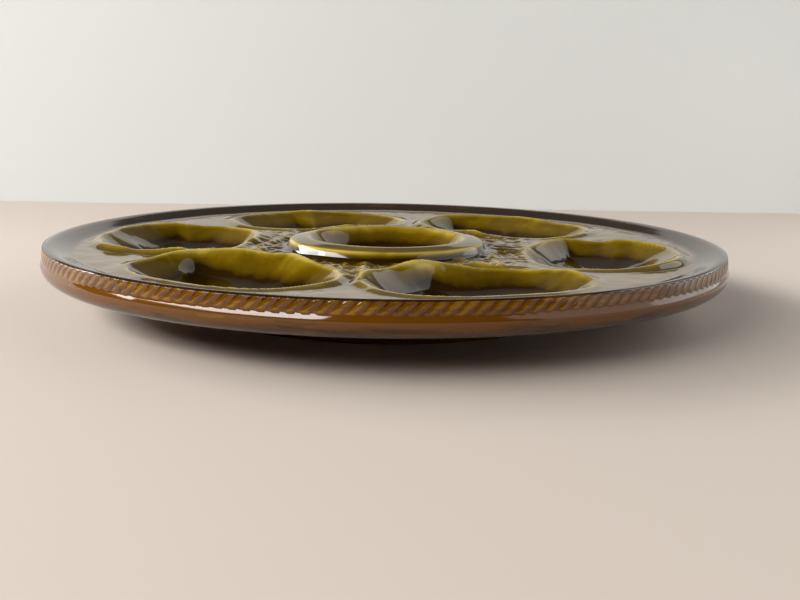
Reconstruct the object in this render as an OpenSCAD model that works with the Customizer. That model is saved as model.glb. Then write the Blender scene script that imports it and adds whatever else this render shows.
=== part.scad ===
// Oyster plate. Six shell-shaped wells stand round a raised centre cup, inside a
// rim with a twisted-rope band, all moulded in one piece with a foot ring below.
// The skin is lofted through closed loops of points. Each well has loops of its
// own, and the sectors, the cup, the rim and the underside share their end loops.

/* [Plate] */
// Diameter over the widest part of the rim
plate_d = 250; // [230:1:300]
// Height of the rim's crest above the table
rim_h = 25; // [22:0.5:30]
// Thickness of the clay under the wells, the cup and the ground
wall_t = 5; // [4:0.25:6]

/* [Wells] */
// Depth of a well's floor below the ground between the wells
well_depth = 8.5; // [6:0.5:10]
// Height of a well's highest peak above the ground
peak_rise = 3.7; // [2.5:0.1:4.5]
// Width of the wall from the lip down to the bowl, at the inner end
wall_run = 7.6; // [6:0.2:8.6]
// The same width at the outer end, where the wall leans back
wall_lean = 10; // [8:0.5:14]
// How far the bowl of the floor rises to the wall, at the inner end
bowl_in = 2.6; // [1.5:0.1:3.5]
// The same at the outer end
bowl_out = 4.4; // [3:0.1:5]
// How far the deepest fold stands out of the wall
fold_out = 3.4; // [1:0.2:4.4]
// How far the waves of the lip swing in and out
lip_wave = 0.4; // [0:0.1:1.4]
// Ground between one well's lip and the next
land_w = 9; // [6:0.5:14]
// Ground between the wells and the cup
moat_w = 15; // [11:0.5:20]
// Ground between the wells and the rim
rim_land = 5.4; // [2:0.2:6.4]

/* [Centre cup] */
// Diameter of the cup's ring where it meets the ground
cup_d = 75; // [62:1:84]
// Width of the ring, from its foot to its inner edge
cup_ring_w = 11; // [8:0.5:14]
// Height of the ring's crest above the ground
cup_rise = 4.4; // [2.5:0.1:5]
// Depth of the cup's floor below the ground
cup_depth = 7; // [5:0.5:9]
// How far the ground rises to the ring
moat_rise = 0.8; // [0:0.1:1.5]

/* [Rim] */
// Width of the rim, from the ground to the widest part
rim_w = 12.2; // [10:0.2:14]
// Height of the rim's crest above the ground
rim_rise = 3.5; // [2.5:0.25:4.5]
// How far the ground rises to the rim
ground_rise = 0.8; // [0:0.1:1.5]
// Strands in the rope band
strand_count = 180; // [120:1:190]
// Depth of the rope band's top edge below the crest
rope_top = 0.4; // [0.2:0.1:0.8]
// Depth of the rope band's lower edge below the crest
rope_bottom = 4.3; // [3.4:0.1:5]
// How far the band's top edge lies inside the widest line
rope_lean = 1.05; // [0.85:0.05:1.6]
// How far the band's lower edge lies inside it, on a smooth ledge
ledge = 0.75; // [0.4:0.05:0.85]
// How far a strand stands out of the grooves beside it
strand_relief = 0.6; // [0.3:0.05:0.9]
// How far a strand runs along the rim from its lower end to its upper end
strand_run = 4.6; // [2:0.2:6]
// Width of the smooth roll under the rope band
roll_w = 7; // [6:0.5:8]
// Height of the roll from its lowest line to its widest
roll_h = 5.7; // [4.5:0.1:6.5]
// Height from the roll's widest line to the rim's crest
roll_drop = 6.3; // [5.2:0.1:7.4]

/* [Foot] */
// Outer diameter of the foot ring
foot_d = 140; // [124:1:160]
// Width of the foot ring's flat face
foot_w = 6; // [4.5:0.5:8]
// How far the sides of the foot ring lean
foot_lean = 1.5; // [1:0.25:2.5]

/* [Hidden] */
glaze = "#6e5a16";

well_count = 6;
sector = 360 / well_count;
half_sector = sector / 2;

// Each well's lip, going round from its outward side: direction, height above the
// ground as a share of peak_rise, and how far the wall folds in as a share of fold_out
lips = [
    [[0, 0.4, 0], [20, 0.23, 0], [68, 0.3, 0.3], [79, 0.25, 0.6], [90, -0.1, 0.1],
        [106, 0.2, -0.2], [116, 0.27, 0.4], [135, 0.12, -0.2], [168, 0.3, 0.6], [188, 0.35, 0.2],
        [211, 0.05, 0], [259, 0.1, 0], [290, 0.4, 0.6], [325, 0.7, 0.2]],
    [[0, 0.37, 0], [28, 0.3, 0.5], [46, 0.28, 0], [76, 0.44, -0.9], [95, 0.28, -0.1],
        [130, 0.34, 0.4], [165, 0.3, 0], [184, 0.58, 0.5], [202, 0.28, 0], [240, 0.1, 0],
        [262, 0.22, 0.3], [290, 0.2, 0.2], [335, 0.1, 0]],
    [[0, 0.38, -0.3], [12, 0.25, -0.8], [30, 0.2, 0], [60, 0.25, 0.4], [120, 0.2, 0],
        [168, 0.35, 0.5], [186, 0.6, 0.7], [208, 0.35, 0], [255, 0.1, 0], [297, 0.05, 0.4],
        [320, 0.12, 0], [345, 0.35, 0.5]],
    [[0, 0.55, 0.5], [45, 0.55, 0.1], [64, 0.6, 0], [84, 0.3, 0], [104, 0.64, 0.7],
        [118, 0.28, 0], [150, 0.18, 0], [180, 0.5, 0.5], [210, 0.35, 0], [253, 0.18, 0.5],
        [274, 0.14, 0.2], [293, 0.46, -0.9], [318, 0.52, -0.2]],
    [[0, 0.22, 0], [60, 0.22, 0], [110, 0.3, 0], [147, 0.3, 0.2], [158, 0.65, -0.2],
        [172, 1, 0], [186, 0.92, -0.3], [196, 0.8, 0.3], [210, 0.9, 0.8], [224, 0.8, -1],
        [240, 0.4, -0.2], [256, 0.25, 0.6], [280, 0.2, 0.2], [320, 0.2, 0]],
    [[0, 0.24, 0], [65, 0.16, 0], [84, 0.25, 0.4], [98, 0.46, 0.7], [121, -0.05, 0.2],
        [143, -0.1, 0], [161, 0.15, 0], [174, 0.4, 0.4], [185, 0.75, 0.4], [194, 1, -0.5],
        [204, 0.9, 0.7], [219, 0.5, 0], [236, 0.7, -0.5], [257, 0.35, 0.2], [290, 0.25, 0]]
];
// Waves round a lip, and how far on they start at the next well
wave_count = 9;
wave_step = 47;
// Share of a fold by which the lip moves in; the foot of the wall moves by all of it
lip_follow = 0.25;
// Rounded edge of a lip: width inside its crest and drop there, and width outside
edge_in = 1;
edge_drop = 0.7;
edge_out = 0.3;
// Longest slope outside a lip, down to the ground
skirt = 5;
// Loops of a well's bowl: shares of its radius, and of its rise there
bowl_at = [0.45, 0.8, 1];
bowl_up = [0.2, 0.62, 1];
// Loops of the cup's ring, from its foot in: shares of its width and of its rise
ring_at_width = [0.09, 0.18, 0.48, 0.75, 0.9];
ring_up = [0.5, 0.72, 0.92, 1, 0.75];
// Loops of the cup's bowl: shares of its radius and of its depth
cup_at_r = [0.78, 0.4];
cup_down = [0.6, 0.96];
// Width of the rim's level crest, and of its rounded edge above the rope
crest_w = 1.6;
crest_edge = 0.5;

// Radii and heights that follow from the sizes above
rim_r = plate_d / 2;
field_r = rim_r - rim_w;
cup_r = cup_d / 2;
well_in = cup_r + moat_w;
well_out = field_r - rim_land;
well_half = (well_out - well_in) / 2;
well_mid = (well_out + well_in) / 2;
ground_z = rim_h - rim_rise;
floor_z = ground_z - well_depth;
foot_r = foot_d / 2;

// A well's outline is a rounded oval: its width leaves land_w to the next well
oval = 2.4;
land_dir = 90 + half_sector;
reach = well_mid * sin(half_sector) - land_w / 2;
well_side = abs(sin(land_dir))
    / pow(pow(reach, -oval) - pow(abs(cos(land_dir)) / well_half, oval), 1 / oval);

// Points per sector round a well: along the rim, each side and the cup
rim_cols = 20;
side_cols = 10;
cup_cols = 8;
well_cols = rim_cols + 2 * side_cols + cup_cols;
around = rim_cols * well_count;
rope_cols = 2 * strand_count;
inner_cols = around / 2;
base_cols = around / 3;

function smooth(a, b, x) = let (t = min(1, max(0, (x - a) / (b - a)))) t * t * (3 - 2 * t);
function mix(a, b, t) = a + (b - a) * t;
function polar(r, a, z) = [r * cos(a), r * sin(a), z];
function wrap(a) = let (b = (a % 360 + 360) % 360) b > 180 ? b - 360 : b;

// Well form: distances from the well's centre and heights, by direction
function oval_r(dir) = pow(pow(abs(cos(dir)) / well_half, oval)
    + pow(abs(sin(dir)) / well_side, oval), -1 / oval);
function innerness(dir) = (1 - cos(dir)) / 2;
function lip_share(w, dir, n) = let (rows = lips[w], d = (dir + 360) % 360) lookup(d, [
    for (row = rows) [row[0], row[n]],
    [360, rows[0][n]]]);
function fold(w, dir) = fold_out * lip_share(w, dir, 2);
function wave(w, dir) = lip_wave * mix(0.3, 1, innerness(dir)) * cos(wave_count * dir + wave_step * w);
function lip_r(w, dir) = oval_r(dir) - lip_follow * fold(w, dir) + wave(w, dir);
function lip_z(w, dir) = ground_z + peak_rise * lip_share(w, dir, 1)
    + mix(0.6, 0, innerness(dir)) * ground_rise;
function foot_of_wall(w, dir) = lip_r(w, dir) - (1 - lip_follow) * fold(w, dir)
    - mix(wall_lean, wall_run, innerness(dir));

// Height of the ground at a radius: it rises a little to the rim and to the cup's ring
function ground(r) = ground_z + ground_rise * smooth(well_mid, field_r, r)
    + moat_rise * (1 - smooth(cup_r, cup_r + 0.6 * moat_w, r));
function ground_by(dist, dir) = ground(norm([well_mid + dist * cos(dir), dist * sin(dir)]));

// Points of a sector's edge, in order round its well, and their polar places
function edge_place(j) =
    j < rim_cols ? [field_r, mix(-half_sector, half_sector, j / rim_cols)]
    : j < rim_cols + side_cols
        ? [mix(field_r, cup_r, (j - rim_cols) / side_cols), half_sector]
    : j < rim_cols + side_cols + cup_cols
        ? [cup_r, mix(half_sector, -half_sector, (j - rim_cols - side_cols) / cup_cols)]
    : [mix(cup_r, field_r, (j - rim_cols - side_cols - cup_cols) / side_cols), -half_sector];
function edge_dir(j) = let (p = edge_place(j))
    atan2(p[0] * sin(p[1]), p[0] * cos(p[1]) - well_mid);
function edge_dist(j) = let (p = edge_place(j))
    norm([p[0] * sin(p[1]), p[0] * cos(p[1]) - well_mid]);

// One point of a well: distance and direction from its centre, turned to its sector
function well_point(w, dist, dir, z) = let (
        u = well_mid + dist * cos(dir),
        v = dist * sin(dir)
    ) polar(norm([u, v]), atan2(v, u) + sector * w, z);

// The loops of a well, from its floor over the lip to the ground outside
function well_loop(w, k) = [for (j = [0:well_cols - 1]) let (
        dir = edge_dir(j),
        lip = lip_r(w, dir),
        top = lip_z(w, dir),
        foot = foot_of_wall(w, dir),
        bowl = mix(bowl_out, bowl_in, innerness(dir)),
        crest = lip + edge_out,
        out = crest + min(skirt, max(edge_out, edge_dist(j) - crest)) / 2,
        at = [
            for (i = [0:len(bowl_at) - 1]) [bowl_at[i] * foot, floor_z + bowl_up[i] * bowl],
            [(foot + lip) / 2, (floor_z + bowl + top) / 2],
            [lip - edge_in, top - edge_drop],
            [crest, top],
            [out, (ground_by(out, dir) + top) / 2]
        ][k]
    ) well_point(w, at[0], dir, at[1])];
well_loops = 7;

// The cup: radius and height of each loop, from the ground to the floor
cup_inner = cup_r - cup_ring_w;
cup_loops = [
    for (i = [0:len(ring_up) - 1])
        [cup_r - ring_at_width[i] * cup_ring_w, ground_z + ring_up[i] * cup_rise],
    for (i = [0:len(cup_down) - 1]) [cup_at_r[i] * cup_inner, ground_z - cup_down[i] * cup_depth]
];

// The rim above its rope band: inner slope and crest
rope_r = rim_r - rope_lean;
crest_loops = [
    [mix(field_r, rope_r, 0.45), mix(ground(field_r), rim_h, 0.55)],
    [rope_r - crest_w, rim_h],
    [rope_r - crest_edge, rim_h - 0.3 * rope_top]
];

// The rope band is nearly upright: each strand is a ridge with a groove on either
// side, and runs along the rim as it climbs. Its ends lie on the crest and the ledge
rope_shares = [0, 0.45, 0.92, 1];
rope_swell = [0.7, 1, 1, 0];
function rope_loop(k) = [for (j = [0:rope_cols - 1]) let (
        share = rope_shares[k],
        out = (j % 2 == 0 ? 0.5 : -0.5) * strand_relief * rope_swell[k],
        r = rim_r - mix(rope_lean, ledge, share) + out,
        z = rim_h - mix(rope_top, rope_bottom, share),
        slant = strand_run * (1 - share) / rim_r * 180 / PI
    ) polar(r, j * 360 / rope_cols + slant - half_sector, z)];

// The ledge curves out to the widest line of the smooth roll, and the roll goes on as
// a quarter of an ellipse
ledge_fall = mix(rope_bottom, roll_drop, 0.65);
roll_angles = [0, 30, 60, 90];
roll_loops = [
    [rim_r - 0.25 * ledge, rim_h - ledge_fall],
    for (a = roll_angles) [rim_r - roll_w + roll_w * cos(a), rim_h - roll_drop - roll_h * sin(a)]
];

// Underside: the clay follows the wells and the cup, more softly than above
function hollow(r, a) = let (
        b = wrap(a - sector * round(a / sector)),
        u = r * cos(b) - well_mid,
        v = r * sin(b),
        share = norm([u, v]) / oval_r(atan2(v, u))
    ) max(well_depth * (1 - smooth(0.72, 1.22, share)), cup_depth * (1 - smooth(0.5, 1.3, r / cup_r)));
function under_z(r, a) = ground_z - wall_t - hollow(r, a);
under_steps = 4;
under_out = rim_r - roll_w - 4;
under_loops = [for (i = [0:under_steps - 1])
    mix(under_out, foot_r + foot_lean + 4, i / (under_steps - 1))];
foot_in = foot_r - foot_w;
base_loops = [0.72 * foot_in, 0.45 * foot_in];

// A loop of points at one radius, either level or on the underside
function level_loop(p, cols) = [for (j = [0:cols - 1])
    polar(p[0], j * 360 / cols - half_sector, p[1])];
function under_loop(r, cols) = [for (j = [0:cols - 1])
    let (a = j * 360 / cols - half_sector) polar(r, a, under_z(r, a))];

// Points, in blocks; each block's first index follows from the blocks before it
wells_pts = [for (w = [0:well_count - 1], k = [0:well_loops - 1]) each well_loop(w, k)];
mids_pts = [for (w = [0:well_count - 1]) polar(well_mid, sector * w, floor_z)];
rays_pts = [for (w = [0:well_count - 1], m = [1:side_cols - 1])
    let (r = mix(field_r, cup_r, m / side_cols)) polar(r, sector * w - half_sector, ground(r))];
ring_pts = level_loop([cup_r, ground(cup_r)], cup_cols * well_count);
cup_pts = [for (p = cup_loops) each level_loop(p, cup_cols * well_count)];
hub_pts = [[0, 0, ground_z - cup_depth]];
field_pts = level_loop([field_r, ground(field_r)], around);
crest_pts = [for (p = crest_loops) each level_loop(p, around)];
rope_pts = [for (k = [0:len(rope_shares) - 1]) each rope_loop(k)];
roll_pts = [for (p = roll_loops) each level_loop(p, around)];
under_pts = [for (r = under_loops) each under_loop(r, around)];
foot_pts = [
    each under_loop(foot_r + foot_lean, around),
    each level_loop([foot_r, 0], around),
    each level_loop([foot_in, 0], around)
];
inner_pts = under_loop(foot_in - foot_lean, inner_cols);
base_pts = [for (r = base_loops) each under_loop(r, base_cols)];
nadir_pts = [[0, 0, under_z(0, 0)]];

mids_at = len(wells_pts);
rays_at = mids_at + len(mids_pts);
ring_at = rays_at + len(rays_pts);
cup_at = ring_at + len(ring_pts);
hub_at = cup_at + len(cup_pts);
field_at = hub_at + len(hub_pts);
crest_at = field_at + len(field_pts);
rope_at = crest_at + len(crest_pts);
roll_at = rope_at + len(rope_pts);
under_at = roll_at + len(roll_pts);
foot_at = under_at + len(under_pts);
inner_at = foot_at + len(foot_pts);
base_at = inner_at + len(inner_pts);
nadir_at = base_at + len(base_pts);

// A loop as a list of point numbers
function loop(first, cols) = [for (j = [0:cols - 1]) first + j];
function edge_loop(w) = [for (j = [0:well_cols - 1]) let (
        next = (w + 1) % well_count,
        s = j - rim_cols,
        c = s - side_cols,
        b = c - cup_cols
    )
    s < 0 ? field_at + w * rim_cols + j
    : s == 0 ? field_at + next * rim_cols
    : c < 0 ? rays_at + next * (side_cols - 1) + s - 1
    : b < 0 ? ring_at + (w * cup_cols + cup_cols - c) % (cup_cols * well_count)
    : b == 0 ? ring_at + w * cup_cols
    : rays_at + w * (side_cols - 1) + side_cols - b - 1];

// Triangles between two loops, which may have different numbers of points
function strip(a, b) = let (na = len(a), nb = len(b)) na <= nb
    ? [for (j = [0:na - 1]) let (b0 = floor(j * nb / na), b1 = floor((j + 1) * nb / na)) each [
        for (t = [b0:b1 - 1]) [a[j], b[(t + 1) % nb], b[t]],
        [a[j], a[(j + 1) % na], b[b1 % nb]]]]
    : [for (j = [0:nb - 1]) let (a0 = floor(j * na / nb), a1 = floor((j + 1) * na / nb)) each [
        for (t = [a0:a1 - 1]) [a[t], a[(t + 1) % na], b[j]],
        [a[a1 % na], b[(j + 1) % nb], b[j]]]];
function cap(point, b) = [for (j = [0:len(b) - 1]) [point, b[(j + 1) % len(b)], b[j]]];
function cup_at_loop(i) = loop(cup_at + i * cup_cols * well_count, cup_cols * well_count);
function well_at_loop(w, k) = loop((w * well_loops + k) * well_cols, well_cols);
function loft(loops) = [for (i = [0:len(loops) - 2]) each strip(loops[i], loops[i + 1])];
function block(first, count, cols) = [for (i = [0:count - 1]) loop(first + i * cols, cols)];

well_faces = [for (w = [0:well_count - 1]) each [
    each cap(mids_at + w, well_at_loop(w, 0)),
    each loft([for (k = [0:well_loops - 1]) well_at_loop(w, k), edge_loop(w)])]];
cup_faces = [
    each cap(hub_at, cup_at_loop(len(cup_loops) - 1)),
    each loft([for (i = [len(cup_loops) - 1:-1:0]) cup_at_loop(i),
        loop(ring_at, cup_cols * well_count)])];
outer_loops = [
    loop(field_at, around),
    each block(crest_at, len(crest_loops), around),
    each block(rope_at, len(rope_shares), rope_cols),
    each block(roll_at, len(roll_loops), around),
    each block(under_at, under_steps, around),
    each block(foot_at, 3, around),
    loop(inner_at, inner_cols),
    each block(base_at, len(base_loops), base_cols)
];
nadir_faces = [for (f = cap(nadir_at, outer_loops[len(outer_loops) - 1])) [f[0], f[2], f[1]]];

module plate() {
    color(glaze)
        polyhedron(
            points = [each wells_pts, each mids_pts, each rays_pts, each ring_pts, each cup_pts,
                each hub_pts, each field_pts, each crest_pts, each rope_pts, each roll_pts,
                each under_pts, each foot_pts, each inner_pts, each base_pts, each nadir_pts],
            faces = [each well_faces, each cup_faces, each loft(outer_loops), each nadir_faces]);
}

plate();
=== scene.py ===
"""Oyster plate in glazed earthenware, on a plain pale table under soft light."""

import math

import bmesh
import bpy
import numpy as np
from bpy.props import FloatProperty, FloatVectorProperty, IntProperty, PointerProperty
from mathutils import Matrix, Vector, noise


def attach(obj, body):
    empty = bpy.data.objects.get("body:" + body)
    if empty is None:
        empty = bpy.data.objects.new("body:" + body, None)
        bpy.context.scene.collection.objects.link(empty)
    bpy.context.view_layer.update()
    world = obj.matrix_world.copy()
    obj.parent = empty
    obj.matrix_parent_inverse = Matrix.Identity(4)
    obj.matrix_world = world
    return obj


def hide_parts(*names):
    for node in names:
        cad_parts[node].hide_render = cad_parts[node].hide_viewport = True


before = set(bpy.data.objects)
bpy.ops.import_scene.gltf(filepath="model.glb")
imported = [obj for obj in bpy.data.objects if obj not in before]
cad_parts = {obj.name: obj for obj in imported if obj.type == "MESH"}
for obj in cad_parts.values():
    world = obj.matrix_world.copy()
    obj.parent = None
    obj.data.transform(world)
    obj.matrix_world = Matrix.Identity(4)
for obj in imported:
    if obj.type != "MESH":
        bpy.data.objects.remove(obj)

bl_info = {
    "name": "Oyster plate",
    "version": (1, 0, 0),
    "blender": (4, 5, 0),
    "location": "3D View > Sidebar > Oyster plate",
    "description": "A majolica oyster plate with shell-shaped wells and a twisted-rope rim",
    "category": "Add Mesh",
}

MM = 0.001
WELLS = 6
SECTOR = 360.0 / WELLS

# Each well's lip, going round from its outward side: direction in degrees, height
# above the ground as a share of the peak's rise, and how far the wall folds into
# the well there as a share of the fold
LIPS = (
    ((0, .38, 0), (20, .25, 0), (34, .22, 0), (53, .27, 0), (68, .32, .2), (78, .3, .6),
     (84, .1, .4), (89, -.18, 0), (99, .05, 0), (106, .2, -.3), (111, .27, -.8),
     (116, .3, 0), (124, .27, .6), (134, .14, .5), (145, .05, .3), (156, 0, .4), (168, .3, .7),
     (178, .45, .6), (188, .35, .2), (200, .2, 0), (211, .05, 0), (245, .02, 0),
     (259, .1, 0), (276, .2, 0), (283, .3, .3), (290, .4, .6), (298, .5, .3), (307, .6, .5),
     (318, .7, .3), (332, .7, 0), (345, .5, 0)),
    ((0, .35, 0), (20, .42, .3), (30, .3, .6), (46, .28, .1), (60, .35, -.3), (75, .45, -1),
     (85, .38, -.6), (95, .28, -.2), (110, .3, .2), (130, .35, .4), (150, .25, .2),
     (165, .3, 0), (180, .5, .6), (190, .6, .3), (200, .3, 0), (220, .1, 0), (240, .1, 0),
     (260, .2, .3), (275, .3, 0), (290, .2, .2), (310, .15, 0), (335, .1, 0), (348, .1, 0)),
    ((0, .4, -.2), (11, .25, -.9), (20, .2, -.5), (30, .2, 0), (60, .25, .4), (90, .3, .1),
     (120, .2, 0), (150, .2, .3), (170, .35, .5), (185, .6, .8), (195, .5, .2),
     (210, .35, 0), (230, .2, 0), (255, .1, 0), (281, .05, .2), (297, .05, .5),
     (307, .05, -.2), (320, .12, 0), (334, .2, .4), (350, .4, .5)),
    ((0, .55, .5), (11, .62, .5), (45, .55, .1), (64, .6, 0), (76, .5, .2), (82, .3, 0),
     (94, .4, .4), (103, .62, .8), (108, .68, .3), (113, .4, .2), (121, .25, 0),
     (140, .15, 0), (165, .25, 0), (180, .5, .5), (195, .4, .2), (210, .35, 0),
     (235, .25, .3), (253, .18, .6), (264, .18, .1), (274, .12, .2), (283, .28, 0),
     (291, .45, -1), (298, .5, -.8), (312, .5, -.3), (338, .6, .2)),
    ((0, .22, 0), (60, .22, 0), (90, .25, 0), (110, .3, 0), (135, .25, .4), (147, .3, .6),
     (156, .6, .8), (162, .75, .9), (170, .95, .9), (178, 1, 1), (186, .92, 1),
     (196, .8, 1.1), (206, .85, 1.2), (214, .92, 1.3), (222, .95, 1.2), (228, .9, .8),
     (235, .8, .2), (243, .74, -.75), (247, .72, -1.05), (251, .7, -.8), (256, .62, -.3),
     (264, .5, .3), (272, .3, .4), (282, .2, .2), (294, .2, .1), (320, .2, 0)),
    ((0, .24, 0), (55, .16, 0), (75, .16, 0), (84, .25, .4), (90, .32, .4), (98, .46, .7),
     (109, .2, .3), (121, -.05, .3), (132, -.15, .3), (143, -.1, .4), (155, 0, .6),
     (165, .3, .7), (175, .5, .5), (184, .75, 0), (189, .85, -.4), (193, .95, -.65),
     (196, 1, -.75), (200, 1, -.6), (206, .9, -.3), (212, .7, .1), (219, .5, .3),
     (228, .55, .4), (236, .7, .4), (246, .75, .3), (257, .35, .2), (270, .27, .2),
     (315, .25, 0)),
)

# Small ridges on the ground between the wells, as points in mm, with their height
RIDGES = (
    (1.0, ((3.8, -71.0), (1.1, -58.8), (-0.7, -45.5), (-1.4, -35.7), (1.7, -29.2),
           (5.2, -30.7), (8.0, -38.1), (10.8, -40.8))),
    (0.8, ((-11.6, -52.3), (-6.8, -65.2), (-3.3, -70.7))),
    (0.8, ((-6.0, -58.3), (-2.0, -61.9), (-0.5, -57.1))),
    (0.8, ((-1.9, -69.6), (0.2, -69.9), (2.3, -67.5))),
    (0.9, ((-46.6, -25.7), (-46.2, -14.6), (-44.7, -0.9), (-42.0, 7.4))),
    (0.9, ((-44.9, -25.3), (-43.2, -17.3), (-40.9, -11.6), (-38.5, -5.7), (-33.6, -15.1))),
    (1.2, ((28.5, -26.2), (30.7, -25.7), (35.5, -32.4), (41.6, -36.1), (46.5, -40.9))),
    (1.1, ((39.2, -4.7), (41.8, -20.1), (44.5, -32.8), (46.8, -40.8))),
    (0.8, ((36.0, -11.2), (38.4, -10.7), (40.5, -7.5), (46.4, -0.5))),
)


def from_hex(code):
    """An sRGB hex colour as linear red, green, blue and alpha."""
    parts = [int(code[i:i + 2], 16) / 255 for i in (1, 3, 5)]
    return [c / 12.92 if c <= 0.04045 else ((c + 0.055) / 1.055) ** 2.4 for c in parts] + [1.0]


def length(name, description, default):
    return FloatProperty(name=name, description=description, default=default, min=0.0,
                         unit="LENGTH", precision=5)


def colour(name, description, code):
    return FloatVectorProperty(name=name, description=description, default=from_hex(code),
                               size=4, min=0.0, max=1.0, subtype="COLOR")


class OYSTERPLATE_PG_form(bpy.types.PropertyGroup):
    """Sizes of the plate"""

    diameter: length("Diameter", "Over the widest part of the rim", 250 * MM)
    rim_height: length("Rim height", "Of the rim's crest above the table", 25 * MM)
    wall: length("Wall", "Thickness of the clay under the wells", 5 * MM)
    well_depth: length("Well depth", "Of a well's floor below the ground", 8.5 * MM)
    bowl_in: length("Bowl", "Rise of a well's floor towards its inner wall", 2.6 * MM)
    bowl_out: length("Outer bowl", "The same towards its outer wall", 4.4 * MM)
    peak_rise: length("Peak rise", "Of a well's folded peak above the ground", 3.7 * MM)
    wall_run: length("Wall run", "Width of a well's wall at its inner end", 7.6 * MM)
    wall_lean: length("Wall lean", "Width of a well's wall at its outer end", 10 * MM)
    fold_out: length("Fold", "How far the fold stands out of a well's wall", 3.4 * MM)
    lip_wave: length("Lip wave", "How far the waves of a lip swing in and out", 0.4 * MM)
    land: length("Land", "Ground between one well and the next", 9 * MM)
    moat: length("Moat", "Ground between the wells and the cup", 15 * MM)
    rim_land: length("Rim land", "Ground between the wells and the rim", 5.4 * MM)
    ground_rise: length("Ground rise", "Of the ground towards the rim", 0.8 * MM)
    cup_diameter: length("Cup", "Diameter of the cup's ring at the ground", 75 * MM)
    cup_ring: length("Cup ring", "Width of the cup's ring", 11 * MM)
    cup_rise: length("Cup rise", "Of the ring's crest above the ground", 4.4 * MM)
    cup_depth: length("Cup depth", "Of the cup's floor below the ground", 7 * MM)
    rim_width: length("Rim width", "From the ground to the widest part", 12.2 * MM)
    rim_rise: length("Rim rise", "Of the rim's crest above the ground", 3.5 * MM)
    rope_top: length("Rope top", "Of the rope band's top edge below the crest", 0.35 * MM)
    rope_bottom: length("Rope bottom", "Of the rope band's lower edge below the crest", 4.3 * MM)
    rope_lean: length("Rope lean", "Of the band's top edge inside the widest line", 1.05 * MM)
    ledge: length("Ledge", "From the rope band's lower edge out to the widest line", 0.75 * MM)
    strand_relief: length("Strand relief", "Of a strand above its grooves", 0.36 * MM)
    strand_run: length("Strand run", "Along the rim, from end to end", 4.6 * MM)
    groove: length("Groove", "Depth of the thin groove inside the rope", 0.12 * MM)
    roll_width: length("Roll width", "Of the smooth roll below the rope", 7 * MM)
    roll_height: length("Roll height", "From its lowest to its widest line", 5.7 * MM)
    roll_drop: length("Roll drop", "Of its widest line below the crest", 6.3 * MM)
    foot_diameter: length("Foot", "Outer diameter of the foot ring", 140 * MM)
    foot_width: length("Foot width", "Of the foot ring's flat face", 6 * MM)
    foot_lean: length("Foot lean", "Of the foot ring's sides", 1.5 * MM)
    rock: length("Rock relief", "Height of the rocky relief in the moat", 1.0 * MM)
    swell: length("Ground swell", "Height of the soft waves on the ground", 0.12 * MM)
    strands: IntProperty(name="Strands", description="In the rope band", default=180, min=60)


class OYSTERPLATE_PG_finish(bpy.types.PropertyGroup):
    """Colours of the glaze and the stage"""

    # Thin glaze on the crests, with painted highlight there
    thin_and_highlight: colour("Thin glaze", "Where the glaze runs thin over crests", "#b9a14c")
    gold: colour("Golden glaze", "The glaze where it lies a little thin", "#7c6610")
    body: colour("Olive glaze", "The glaze at its usual thickness", "#5c4600")
    # Pooled glaze, and painted shade in hollows, deep in the wells, in the moat and under the
    # roll
    pool: colour("Pooled glaze", "Where the glaze lies thick", "#241500")
    amber: colour("Rim glaze", "The amber glaze of the rim", "#5c3604")
    # Thin rim glaze, with painted highlight on the rope's strands
    honey_and_highlight: colour("Thin rim glaze", "Where the rim's glaze runs thin", "#7a5606")
    clay: colour("Clay", "The bare clay under the foot", "#c9a987")
    table: colour("Table", "The pale table top", "#c6b9ad")
    backdrop: colour("Backdrop", "The pale wall behind", "#cfd0cd")


def add_node(tree, kind, settings=None, **links):
    """A node of this kind, with its settings, its socket values and its links."""
    node = tree.nodes.new(kind)
    for name, value in (settings or {}).items():
        setattr(node, name, value)
    for name, value in links.items():
        key = int(name[1:]) if name[1:].isdigit() else name.replace("_", " ")
        socket = node.inputs[key]
        if isinstance(value, bpy.types.NodeSocket):
            tree.links.new(value, socket)
        else:
            socket.default_value = value
    return node


def smooth(low, high, x):
    """A smooth step from 0 at the low value to 1 at the high one."""
    t = np.clip((x - low) / (high - low), 0.0, 1.0)
    return t * t * (3 - 2 * t)


def mix(a, b, t):
    return a + (b - a) * t


def turned(angle):
    """An angle in degrees between -180 and 180."""
    return (angle + 180.0) % 360.0 - 180.0


def innerness(dir):
    """0 at a well's outer end and 1 at its inner end, by direction from its centre."""
    return (1 - np.cos(np.radians(dir))) / 2


def through(knots, heights, x):
    """A smooth curve through the knots, with no overshoot, at each x."""
    knots, heights = np.array(knots), np.array(heights)
    steps = np.diff(knots, axis=0)
    rises = np.diff(heights, axis=0) / steps
    product = rises[:-1] * rises[1:]
    inner = np.where(product > 0, 2 * product / (rises[:-1] + rises[1:] + 1e-30), 0.0)
    slopes = np.concatenate([np.zeros_like(rises[:1]), inner, np.zeros_like(rises[:1])])
    out = np.array(np.broadcast_to(heights[-1], x.shape), dtype=float)
    for i in range(len(steps)):
        here = (x >= knots[i]) & (x <= knots[i + 1])
        t = np.clip((x - knots[i]) / steps[i], 0.0, 1.0)
        a, b = heights[i], heights[i + 1]
        curve = (a * (1 + 2 * t) * (1 - t) ** 2 + b * t * t * (3 - 2 * t)
                 + steps[i] * (slopes[i] * t * (1 - t) ** 2 - slopes[i + 1] * t * t * (1 - t)))
        out = np.where(here, curve, out)
    return out


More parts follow.
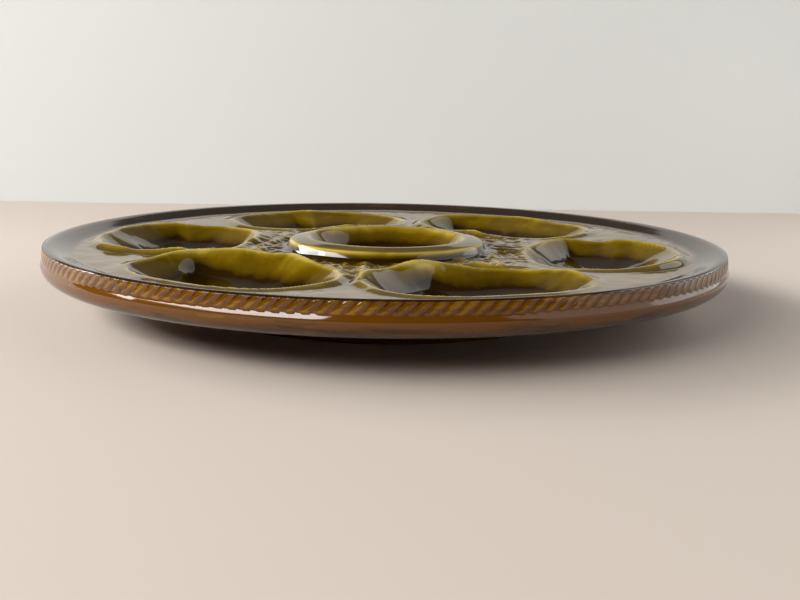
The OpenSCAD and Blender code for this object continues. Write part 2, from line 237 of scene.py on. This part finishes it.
class Form:
    """The plate's form, from its sizes: heights over its top and its underside."""

    # A well's outline as a superellipse's power, the degrees over which the corners
    # of its lip are eased, the waves round a lip and their shift from well to well,
    # and how far past the lip's line its rounded edge ends
    oval = 2.4
    crease_turn = 1.6
    wave_count, wave_step = 9, 47.0
    edge = 0.3 * MM

    def __init__(self, sizes):
        self.sizes = sizes
        self.rim_r = sizes.diameter / 2
        self.field_r = self.rim_r - sizes.rim_width
        self.cup_r = sizes.cup_diameter / 2
        well_in = self.cup_r + sizes.moat
        well_out = self.field_r - sizes.rim_land
        self.half = (well_out - well_in) / 2
        self.mid = (well_out + well_in) / 2
        self.ground_z = sizes.rim_height - sizes.rim_rise
        self.floor_z = self.ground_z - sizes.well_depth
        self.turn = math.radians(SECTOR / 2)
        reach = self.mid * math.sin(self.turn) - sizes.land / 2
        away = math.radians(90 + SECTOR / 2)
        self.side = abs(math.sin(away)) / (
            reach ** -self.oval - (abs(math.cos(away)) / self.half) ** self.oval
        ) ** (1 / self.oval)

    def ground(self, r):
        """Height of the ground between the cup and the rim."""
        return self.ground_z + self.sizes.ground_rise * smooth(self.mid, self.field_r, r)

    def oval_r(self, dir):
        """Distance from a well's centre to its plain oval outline."""
        along = np.abs(np.cos(np.radians(dir))) / self.half
        across = np.abs(np.sin(np.radians(dir))) / self.side
        return (along ** self.oval + across ** self.oval) ** (-1 / self.oval)

    def edge_r(self, dir):
        """Distance from a well's centre to the edge of its sector."""
        a = np.radians(np.abs(dir))
        border = self.mid * math.sin(self.turn)
        side = np.where(a > self.turn, border / np.maximum(np.sin(a - self.turn), 1e-6), 9.0)
        outer = -self.mid * np.cos(a) + np.sqrt(
            self.field_r ** 2 - (self.mid * np.sin(a)) ** 2)
        disc = self.cup_r ** 2 - (self.mid * np.sin(a)) ** 2
        inner = np.where((disc > 0) & (np.cos(a) < 0),
                         -self.mid * np.cos(a) - np.sqrt(np.maximum(disc, 0)), 9.0)
        return np.minimum(np.minimum(side, outer), inner)

    def well_place(self, x, y):
        """The nearest well of each point, and the point's distance and direction there."""
        a = np.degrees(np.arctan2(y, x))
        well = np.round(a / SECTOR).astype(int) % WELLS
        b = np.radians(turned(a - SECTOR * well))
        r = np.hypot(x, y)
        u, v = r * np.cos(b) - self.mid, r * np.sin(b)
        return well, np.hypot(u, v), np.degrees(np.arctan2(v, u))

    def lip_table(self, well, dir, column):
        """A column of the lips' tables in each direction, with its corners eased."""
        out = np.zeros_like(dir)
        for w, table in enumerate(LIPS):
            here = well == w
            for turn, weight in ((-self.crease_turn, 0.25), (0, 0.5), (self.crease_turn, 0.25)):
                out[here] += weight * np.interp(dir[here] + turn, [row[0] for row in table],
                                                [row[column] for row in table], period=360)
        return out

    def well_shape(self, well, dir):
        """The lip's distance and height and the wall's foot, in each direction."""
        s = self.sizes
        fold = s.fold_out * self.lip_table(well, dir, 2)
        share = innerness(dir)
        waves = np.cos(np.radians(self.wave_count * dir + self.wave_step * well))
        lip = self.oval_r(dir) - 0.25 * fold + s.lip_wave * (0.3 + 0.7 * share) * waves
        top = (self.ground_z + s.peak_rise * self.lip_table(well, dir, 1)
               + 0.6 * s.ground_rise * (1 - share))
        foot = lip - mix(s.wall_lean, s.wall_run, share) - 0.75 * fold
        return lip, top, foot

    def top(self, x, y):
        """Height of the plate's top between the cup's centre and the rim's foot."""
        s = self.sizes
        r = np.hypot(x, y)
        well, dist, dir = self.well_place(x, y)
        lip, top, foot = self.well_shape(well, dir)
        zero = np.zeros_like(dist)
        bowl = mix(s.bowl_out, s.bowl_in, innerness(dir))
        inside = through(
            [zero, 0.45 * foot, 0.8 * foot, foot, foot + 0.7 * MM, lip - 1.1 * MM,
             lip - 0.4 * MM, lip + self.edge],
            [self.floor_z + zero, self.floor_z + 0.2 * bowl, self.floor_z + 0.62 * bowl,
             self.floor_z + bowl, self.floor_z + bowl + 0.45 * MM, top - 0.9 * MM,
             top - 0.3 * MM, top],
            dist)
        ground = self.ground(r)
        room = np.clip(self.edge_r(dir) - lip - self.edge, 0.5 * MM, 5 * MM)
        out = np.clip((dist - lip - self.edge) / room, 0, 1)
        outside = mix(top, ground, smooth(0, 1, out))
        z = np.where(dist <= lip + self.edge, inside, outside)
        ring = s.cup_ring
        inner = self.cup_r - ring
        knots = [0, 0.4 * inner, 0.74 * inner, inner, inner + 0.17 * ring, inner + 0.25 * ring,
                 self.cup_r - 0.4 * ring, self.cup_r - 0.16 * ring, self.cup_r - 0.13 * ring,
                 self.cup_r - 0.04 * ring, self.cup_r]
        rises = [-s.cup_depth, -0.96 * s.cup_depth, -0.66 * s.cup_depth, 0.45 * s.cup_rise,
                 0.94 * s.cup_rise, s.cup_rise, 0.88 * s.cup_rise, 0.75 * s.cup_rise,
                 0.67 * s.cup_rise, 0.18 * s.cup_rise, 0]
        cup = self.ground_z + through(
            [zero + k for k in knots], [zero + h for h in rises], r)
        return np.where(r < self.cup_r, cup, z)

    def bare(self, x, y):
        """How far a point stands clear of the wells and the cup: 1 on open ground."""
        well, dist, dir = self.well_place(x, y)
        lip = self.well_shape(well, dir)[0]
        r = np.hypot(x, y)
        return (smooth(0.4 * MM, 3 * MM, dist - lip) * smooth(0, 2 * MM, r - self.cup_r)
                * smooth(0, 2 * MM, self.field_r + 2 * MM - r))

    def under(self, x, y):
        """Height of the underside between the rim and the foot, and inside the foot."""
        s = self.sizes
        well, dist, dir = self.well_place(x, y)
        r = np.hypot(x, y)
        below_well = s.well_depth * (1 - smooth(0.72, 1.22, dist / self.oval_r(dir)))
        below_cup = s.cup_depth * (1 - smooth(0.5, 1.3, r / self.cup_r))
        return self.ground_z - s.wall - np.maximum(below_well, below_cup)


# The rope band's rings, from its top edge down: share of its height, bulge out of
# the band in mm, and share of the strands' relief
ROPE_RINGS = ((0, 0, 0.7), (0.08, 0.06, 0.9), (0.3, 0.1, 0.9), (0.5, 0.12, 1),
              (0.7, 0.1, 1), (0.86, 0.06, 1), (0.96, 0.02, 0.7), (1, 0, 0))
TOP_RINGS = 76
# The cup's rings, as shares of its radius: close together on its raised ring
CUP_RINGS = (0, 0.14, 0.28, 0.41, 0.52, 0.6, 0.66, 0.7, 0.735, 0.765, 0.79, 0.82, 0.855,
             0.89, 0.92, 0.945, 0.957, 0.969, 0.985)
COLUMNS_PER_STRAND = 4


def section(form):
    """The plate's section as rings: zone, radius, height, and number along the zone."""
    s = form.sizes
    rings = [("top", form.cup_r * share, 0, 0) for share in CUP_RINGS]
    rings += [("top", mix(form.cup_r, form.field_r, i / TOP_RINGS), 0, 0)
              for i in range(TOP_RINGS + 1)]
    base = float(form.ground(np.array(form.field_r)))
    groove_r = form.rim_r - s.rope_lean
    slope = [(form.field_r, base), (form.field_r + 0.45 * (groove_r - form.field_r),
                                    mix(base, s.rim_height, 0.55)),
             (groove_r - 1.6 * MM, s.rim_height),
             (groove_r - 0.4 * MM, s.rim_height - 0.12 * MM),
             (groove_r, s.rim_height - s.rope_top - s.groove)]
    radii = np.append(np.linspace(form.field_r, groove_r - 0.4 * MM, 9)[1:],
                      [groove_r - 0.15 * MM, groove_r])
    heights = through([np.full(10, r) for r, _ in slope], [np.full(10, z) for _, z in slope],
                      radii)
    rings += [("rim", r, z, 0) for r, z in zip(radii, heights)]
    rings += [("rope", 0, 0, k) for k in range(len(ROPE_RINGS))]
    drop = s.roll_drop - s.rope_bottom
    rings += [("rim", form.rim_r - share * s.ledge, s.rim_height - s.rope_bottom - fall * drop, 0)
              for share, fall in ((0.7, 0.3), (0.25, 0.65))]
    for a in np.radians((0, 14, 28, 42, 56, 72, 90)):
        rings.append(("rim", form.rim_r - s.roll_width * (1 - math.cos(a)),
                      s.rim_height - s.roll_drop - s.roll_height * math.sin(a), 0))
    foot_r = s.foot_diameter / 2
    foot_in = foot_r - s.foot_width
    for r in np.linspace(form.rim_r - s.roll_width - 4 * MM, foot_r + s.foot_lean, 6):
        rings.append(("under", r, 0, 0))
    rings += [("rim", foot_r + 0.25 * s.foot_lean, 1 * MM, 0), ("rim", foot_r, 0.25 * MM, 0),
              ("rim", foot_r - 0.5 * MM, 0, 0), ("rim", foot_in + 0.5 * MM, 0, 0),
              ("rim", foot_in, 0.25 * MM, 0), ("rim", foot_in - 0.25 * s.foot_lean, 1 * MM, 0)]
    for i in range(5):
        rings.append(("under", (foot_in - s.foot_lean) * (1 - i / 4), 0, 0))
    return rings


def sheet(rings, columns):
    """A flat sheet with a row for each ring and a column for each step round the rim."""
    bm = bmesh.new()
    bmesh.ops.create_grid(bm, x_segments=columns, y_segments=len(rings) - 1, size=1)
    mesh = bpy.data.meshes.new("plate_glazed")
    bm.to_mesh(mesh)
    bm.free()
    return mesh


class OYSTERPLATE_OT_plate(bpy.types.Operator):
    """Make the plate with its wells, cup, rope rim and foot"""

    bl_idname = "oysterplate.plate"
    bl_label = "Plate"

    def execute(self, context):
        sizes = context.scene.oysterplate_form
        form = Form(sizes)
        rings = section(form)
        columns = COLUMNS_PER_STRAND * sizes.strands
        mesh = sheet(rings, columns)
        shape_plate(mesh, form, rings, columns)
        bm = bmesh.new()
        bm.from_mesh(mesh)
        bmesh.ops.remove_doubles(bm, verts=bm.verts, dist=1e-7)
        bmesh.ops.recalc_face_normals(bm, faces=bm.faces)
        bm.to_mesh(mesh)
        bm.free()
        mesh.shade_smooth()
        plate = bpy.data.objects.new("plate_glazed", mesh)
        context.collection.objects.link(plate)
        mesh.materials.append(majolica_glaze(context.scene.oysterplate_finish))
        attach(plate, "root")
        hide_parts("plate")
        return {"FINISHED"}


def shape_plate(mesh, form, rings, columns):
    """Wraps the sheet round the plate's form, and stores where the glaze lies thick and where
    shade and highlight are painted into its colour.
    """
    s = form.sizes
    count = len(mesh.vertices)
    co = np.empty(count * 3)
    mesh.vertices.foreach_get("co", co)
    co = co.reshape(-1, 3)
    ring = np.rint((co[:, 1] + 1) / 2 * (len(rings) - 1)).astype(int)
    a = np.rint((co[:, 0] + 1) / 2 * columns) % columns * (math.tau / columns)
    zone = np.array([r[0] for r in rings])[ring]
    r = np.array([r[1] for r in rings], dtype=float)[ring]
    z = np.array([r[2] for r in rings], dtype=float)[ring]
    step = np.array([r[3] for r in rings])[ring]
    rope = zone == "rope"
    strand = np.abs(np.cos(a * s.strands / 2)) ** 0.8
    share, bulge, relief = np.array(ROPE_RINGS)[step].T
    out = bulge * MM + s.strand_relief * (strand - 0.6) * relief
    lean = math.atan2(s.rope_lean - s.ledge, s.rope_bottom - s.rope_top)
    r = np.where(rope, form.rim_r - mix(s.rope_lean, s.ledge, share)
                 + out * math.cos(lean), r)
    z = np.where(rope, s.rim_height - mix(s.rope_top, s.rope_bottom, share)
                 + out * math.sin(lean), z)
    a = a + np.where(rope, s.strand_run * (1 - share) / form.rim_r, 0)
    x, y = r * np.cos(a), r * np.sin(a)
    top = zone == "top"
    z[top] = form.top(x[top], y[top])
    under = zone == "under"
    z[under] = form.under(x[under], y[under])
    bare = np.zeros(count)
    bare[top] = form.bare(x[top], y[top])
    open_ground = np.flatnonzero(bare > 0.01)
    rocks = np.zeros(count)
    rocks[open_ground] = relief_at(form, x[open_ground], y[open_ground]) * bare[open_ground]
    z += rocks
    mesh.vertices.foreach_set("co", np.stack([x, y, z], axis=1).ravel())
    wide, deep = np.zeros(count), np.zeros(count)
    # Darker in hollows and paler on crests: glaze that pools and runs thin there, with painted
    # shade in the hollows and painted highlight on the crests
    pooling_and_shade = -0.4 * rocks / MM
    pooling_and_shade[top] += hollowness(form, x[top], y[top], 1.2 * MM)
    # Painted shade in the moat round the cup, and glaze pooled down the cup's shoulder
    pooling_and_shade[top] += moat_shade_and_shoulder_pool(form, r, bare)[top]
    # Darker in the rope's grooves and paler on its strands: glaze pooling with painted shade in
    # the grooves, thin glaze with painted highlight on the strands
    pooling_and_shade[rope] = (0.55 - strand[rope]) * relief[rope]
    rim = zone == "rim"
    # On the rim: glaze pooled on the slope inside the crest, and painted shade under the roll
    pooling_and_shade[rim] = rim_pool_and_roll_shade(form, r, z)[rim]
    # The same at a wider reach, with its painted shade in the hollows and painted highlight on
    # the crests
    wide[top] = hollowness(form, x[top], y[top], 4 * MM)
    # Painted shade: darker deeper down in the wells and the cup
    level = form.ground_z + 0.7 * s.cup_rise * (r < form.cup_r)
    deep[top] = smooth(0.12, 0.75, (level - z)[top] / s.well_depth)
    side = np.where(top, smooth(form.field_r - 3 * MM, form.field_r, r), 1.0)
    bottom = np.where(z < 0.2 * MM, 1.0, 0.0)
    for name, values in (("glaze_pool_and_shade", pooling_and_shade), ("wide_pool_and_shade", wide), ("rim_side", side),
                         ("floor_share", deep), ("bare_foot", bottom)):
        mesh.attributes.new(name, "FLOAT", "POINT").data.foreach_set("value", values)
    mesh.update()


def moat_shade_and_shoulder_pool(form, r, bare):
    """Painted shade in the moat round the cup, and how much more glaze lies down the shoulder of
    the cup's ring.
    """
    # Painted shade: darker in the moat
    moat = 0.4 * bare * (1 - smooth(form.cup_r, form.cup_r + form.sizes.moat, r))
    shoulder = 0.2 * smooth(0.78 * form.cup_r, 0.9 * form.cup_r, r) * (r < form.cup_r)
    return moat + shoulder


def rim_pool_and_roll_shade(form, r, z):
    """How thick the glaze lies on the slope inside the rim's crest, and painted shade under
    the roll, darker towards its foot."""
    s = form.sizes
    slope = (r < form.rim_r - s.rope_lean) & (z > form.ground_z)
    # Painted shade under the roll, darker towards its foot
    roll = (r > form.rim_r - s.roll_width) & (z < s.rim_height - s.roll_drop)
    roll_foot = s.rim_height - s.roll_drop - s.roll_height
    return (slope * (1.2 - 0.4 * smooth(form.ground_z, s.rim_height, z))
            + roll * 0.9 * (1 - smooth(roll_foot, s.rim_height - s.roll_drop, z)))


def hollowness(form, x, y, reach):
    """How far the places around a point stand above it, in mm."""
    around = sum(form.top(x + dx, y + dy) for dx, dy in (
        (reach, 0), (-reach, 0), (0, reach), (0, -reach))) / 4
    return (around - form.top(x, y)) / MM


def relief_at(form, x, y):
    """The ground's own relief: small ridges, rocks in the moat, and soft waves."""
    s = form.sizes
    r = np.hypot(x, y)
    rocky = s.rock * (1 - smooth(form.cup_r + 0.8 * s.moat, form.cup_r + 2.2 * s.moat, r))
    out = np.array([rock_height(px / MM, py / MM) for px, py in zip(x, y)]) * rocky
    out += s.swell * np.array([soft_wave(px / MM, py / MM) for px, py in zip(x, y)])
    ridges = np.zeros_like(x)
    for height, points in RIDGES:
        for (ax, ay), (bx, by) in zip(points, points[1:]):
            span = np.array((bx - ax, by - ay))
            px, py = x / MM - ax, y / MM - ay
            t = np.clip((px * span[0] + py * span[1]) / (span @ span), 0, 1)
            gap = np.hypot(px - t * span[0], py - t * span[1])
            ridges = np.maximum(ridges, 0.8 * height * MM * np.exp(-(gap / 1.6) ** 2))
    return out + ridges


def rock_height(x, y):
    """Rocky relief at a point in mm, from about -1 to 1."""
    crags = noise.ridged_multi_fractal(Vector((x, y, 0)) * 0.12, 0.9, 2.1, 3, 1.0, 2.0,
                                       noise_basis="PERLIN_ORIGINAL")
    return 0.7 * (crags - 1.2) + 0.3 * noise.noise(Vector((x, y, 7)) * 0.4)


def soft_wave(x, y):
    """Soft waves at a point in mm, from about -1 to 1."""
    return noise.noise(Vector((x, y, 3)) * 0.11) + 0.4 * noise.noise(Vector((x, y, 5)) * 0.3)


def majolica_glaze(finish):
    """Majolica glaze over pale earthenware, dipped and fired: thin and yellow on the
    crests, with painted highlight there, olive on the walls, brown-black where it pools,
    with painted shade in the hollows, deep in the wells, in the moat and under the rim's
    roll, all under a hard wet shine."""
    material = bpy.data.materials.new("majolica_glaze_over_earthenware")
    material.use_nodes = True
    tree = material.node_tree
    tree.nodes.clear()
    output = add_node(tree, "ShaderNodeOutputMaterial")
    place = add_node(tree, "ShaderNodeTexCoord").outputs["Object"]
    pool, well, side, deep, foot = (
        add_node(tree, "ShaderNodeAttribute", {"attribute_name": name}).outputs["Fac"]
        for name in ("glaze_pool_and_shade", "wide_pool_and_shade", "rim_side", "floor_share", "bare_foot"))
    # Runs of thicker and thinner glaze, 10 to 20 mm across
    runs = add_node(tree, "ShaderNodeTexNoise", Vector=place, Scale=75.0, Detail=4.0,
                    Roughness=0.6, Distortion=0.5).outputs["Fac"]
    # Glaze that pools and runs thin, with painted shade in the hollows, deep in the wells and in
    # the moat, and painted highlight on the crests
    thickness_and_shade = weighted(tree, ((pool, 1.6), (well, 0.25), (deep, 0.9), (runs, 1.2)), -0.6)
    amount = add_node(tree, "ShaderNodeMapRange", Value=thickness_and_shade, From_Min=-1.0,
                      From_Max=1.0).outputs[0]
    # From thin glaze with painted highlight, through golden and olive, to pooled glaze with
    # painted shade
    inner = add_node(tree, "ShaderNodeValToRGB", Fac=amount)
    ramp(inner, ((0.0, finish.thin_and_highlight), (0.28, finish.gold), (0.5, finish.body),
                 (0.95, finish.pool)))
    # Streaks that ran round the outer side
    streaks = add_node(tree, "ShaderNodeTexNoise", Vector=add_node(
        tree, "ShaderNodeMapping", Vector=place, Scale=(1.0, 1.0, 9.0)).outputs[0],
        Scale=45.0, Detail=5.0, Roughness=0.65, Distortion=0.4).outputs["Fac"]
    # Pooling on the rim, with painted shade in the rope's grooves and under the roll and painted
    # highlight on the strands, plus the streaks
    outer_amount = weighted(tree, ((pool, 0.45), (streaks, 1.0)), 0.0)
    outer = add_node(tree, "ShaderNodeValToRGB", Fac=outer_amount)
    ramp(outer, ((0.25, finish.honey_and_highlight), (0.42, finish.amber), (0.6, finish.amber),
                 (0.85, finish.pool)))
    tint = add_node(tree, "ShaderNodeMix", {"data_type": "RGBA"}, _0=side,
                    _6=inner.outputs["Color"], _7=outer.outputs["Color"])
    clay = add_node(tree, "ShaderNodeMix", {"data_type": "RGBA"}, _0=foot,
                    _6=tint.outputs[2], _7=finish.clay)
    dull = add_node(tree, "ShaderNodeMapRange", Value=foot, To_Min=0.07, To_Max=0.8)
    shader = add_node(tree, "ShaderNodeBsdfPrincipled", Base_Color=clay.outputs[2],
                      Roughness=dull.outputs[0])
    shader.inputs["IOR"].default_value = 1.5
    tree.links.new(shader.outputs[0], output.inputs["Surface"])
    return material


def weighted(tree, parts, start):
    """The sum of sockets, each times its weight, from a starting value."""
    for socket, weight in parts:
        start = add_node(tree, "ShaderNodeMath", {"operation": "MULTIPLY_ADD"}, _0=socket,
                         _1=weight, _2=start).outputs[0]
    return start


def ramp(node, stops):
    """Sets a colour ramp's stops."""
    elements = node.color_ramp.elements
    while len(elements) < len(stops):
        elements.new(0.5)
    for element, (at, tint) in zip(elements, stops):
        element.position = at
        element.color = tint


# The photo's camera, fitted to the rim's outline: its distance from the plate's
# centre in rim radii, its height angle, its turn from the first well, its own
# roll, and where the rim's centre falls in the 800 by 600 frame
CAMERA_DISTANCE = 3.5597
CAMERA_HEIGHT = math.radians(7.85)
CAMERA_TURN = math.radians(8.5)
CAMERA_ROLL = -0.015
CAMERA_FOCUS = 1181.9
FRAME_SIZE = (800, 600)
RIM_CENTRE = (385.4, 238.3)
TABLE_DEPTH = 0.33
BACKDROP_HEIGHT = 0.16
ROOM_LIGHT = 0.06

# Each lamp's place in the photo's frame, x to its right and y away from the camera,
# its size in metres and its power in watts: a long bright window with a second pane
# at the left, a broad dim panel and a low card at the right, and a faint glow behind
LAMPS = (
    ("window", (-1.06, -0.76, 0.76), (1.8, 0.4), 31.0),
    ("window_pane", (-1.31, 0.4, 0.66), (1.25, 0.46), 23.0),
    ("side_panel", (1.12, 0.06, 0.58), (2.7, 1.28), 11.0),
    ("side_card", (0.37, 0.1, 0.1), (0.36, 0.14), 0.2),
    ("back_glow", (0, 0.4, 0.33), (2.4, 0.42), 0.3),
)


def camera_axes():
    """The camera's place, and its right, up and forward directions."""
    away = Vector((math.sin(CAMERA_TURN), -math.cos(CAMERA_TURN), 0)) * math.cos(CAMERA_HEIGHT)
    away.z = math.sin(CAMERA_HEIGHT)
    forward = -away
    right = forward.cross(Vector((0, 0, 1))).normalized()
    up = right.cross(forward)
    pan = math.atan((RIM_CENTRE[0] - FRAME_SIZE[0] / 2) / CAMERA_FOCUS)
    tilt = math.atan((FRAME_SIZE[1] / 2 - RIM_CENTRE[1]) / CAMERA_FOCUS)
    forward, up = (forward * math.cos(tilt) - up * math.sin(tilt),
                   up * math.cos(tilt) + forward * math.sin(tilt))
    forward, right = (forward * math.cos(pan) - right * math.sin(pan),
                      right * math.cos(pan) + forward * math.sin(pan))
    right, up = (right * math.cos(CAMERA_ROLL) - up * math.sin(CAMERA_ROLL),
                 up * math.cos(CAMERA_ROLL) + right * math.sin(CAMERA_ROLL))
    return away, right, up, forward


class OYSTERPLATE_OT_stage(bpy.types.Operator):
    """Make the table, the backdrop, the lamps and the camera"""

    bl_idname = "oysterplate.stage"
    bl_label = "Stage"

    def execute(self, context):
        finish = context.scene.oysterplate_finish
        sizes = context.scene.oysterplate_form
        turn = Matrix.Rotation(CAMERA_TURN, 4, "Z")
        table = flat_sheet("table", 3.0, Matrix.Identity(4))
        table.data.materials.append(plain_paint("table_top", finish.table))
        wall = flat_sheet("backdrop", 1.0, turn @ Matrix.Translation(
            (0, TABLE_DEPTH, 0)) @ Matrix.Rotation(math.pi / 2, 4, "X") @ Matrix.Diagonal(
                (3.0, BACKDROP_HEIGHT, 1.0, 1.0)))
        wall.data.materials.append(plain_paint("backdrop_paint", finish.backdrop))
        away, right, up, forward = camera_axes()
        data = bpy.data.cameras.new("camera")
        data.sensor_width = 36.0
        data.lens = data.sensor_width * CAMERA_FOCUS / FRAME_SIZE[0]
        data.clip_start = 0.01
        camera = bpy.data.objects.new("camera", data)
        place = Vector((0, 0, sizes.rim_height)) + away * CAMERA_DISTANCE * sizes.diameter / 2
        axes = Matrix((right, up, -forward)).transposed().to_4x4()
        camera.matrix_world = Matrix.Translation(place) @ axes
        context.collection.objects.link(camera)
        context.scene.camera = camera
        for name, place, size, power in LAMPS:
            soft_lamp(name, turn @ Vector(place), size, power)
        world = bpy.data.worlds.new("room")
        world.use_nodes = True
        background = world.node_tree.nodes["Background"]
        background.inputs["Color"].default_value = finish.backdrop
        seen = add_node(world.node_tree, "ShaderNodeLightPath").outputs["Is Camera Ray"]
        strength = add_node(world.node_tree, "ShaderNodeMapRange", Value=seen,
                            To_Min=ROOM_LIGHT, To_Max=1.0)
        world.node_tree.links.new(strength.outputs[0], background.inputs["Strength"])
        context.scene.world = world
        context.scene.view_settings.view_transform = "Standard"
        return {"FINISHED"}


def flat_sheet(name, size, place):
    """A flat square sheet for the stage."""
    bm = bmesh.new()
    bmesh.ops.create_grid(bm, x_segments=1, y_segments=1, size=size, matrix=place)
    mesh = bpy.data.meshes.new(name)
    bm.to_mesh(mesh)
    bm.free()
    sheet = bpy.data.objects.new(name, mesh)
    bpy.context.collection.objects.link(sheet)
    return sheet


def plain_paint(name, tint):
    """Matt paint, for the stage."""
    material = bpy.data.materials.new(name)
    material.use_nodes = True
    shader = material.node_tree.nodes["Principled BSDF"]
    shader.inputs["Base Color"].default_value = tint
    shader.inputs["Roughness"].default_value = 0.7
    return material


def soft_lamp(name, place, size, power):
    """An area lamp that looks at the plate."""
    data = bpy.data.lights.new(name, "AREA")
    data.shape = "RECTANGLE"
    data.size, data.size_y = size
    data.energy = power
    lamp = bpy.data.objects.new(name, data)
    lamp.matrix_world = Matrix.Translation(place) @ (
        -place).to_track_quat("-Z", "Y").to_matrix().to_4x4()
    bpy.context.collection.objects.link(lamp)
    return lamp


class OYSTERPLATE_PT_panel(bpy.types.Panel):
    """Sizes, colours and steps of the oyster plate"""

    bl_label = "Oyster plate"
    bl_space_type = "VIEW_3D"
    bl_region_type = "UI"
    bl_category = "Oyster plate"

    def draw(self, context):
        layout = self.layout
        for group in (context.scene.oysterplate_form, context.scene.oysterplate_finish):
            column = layout.column()
            for name in type(group).__annotations__:
                column.prop(group, name)
        layout.operator("oysterplate.plate")
        layout.operator("oysterplate.stage")


CLASSES = (OYSTERPLATE_PG_form, OYSTERPLATE_PG_finish, OYSTERPLATE_OT_plate,
           OYSTERPLATE_OT_stage, OYSTERPLATE_PT_panel)


def register():
    for cls in CLASSES:
        bpy.utils.register_class(cls)
    bpy.types.Scene.oysterplate_form = PointerProperty(type=OYSTERPLATE_PG_form)
    bpy.types.Scene.oysterplate_finish = PointerProperty(type=OYSTERPLATE_PG_finish)


def unregister():
    del bpy.types.Scene.oysterplate_finish
    del bpy.types.Scene.oysterplate_form
    for cls in reversed(CLASSES):
        bpy.utils.unregister_class(cls)


def main():
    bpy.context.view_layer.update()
    register()
    bpy.ops.oysterplate.stage()
    bpy.ops.oysterplate.plate()


if __name__ == "__main__":
    main()
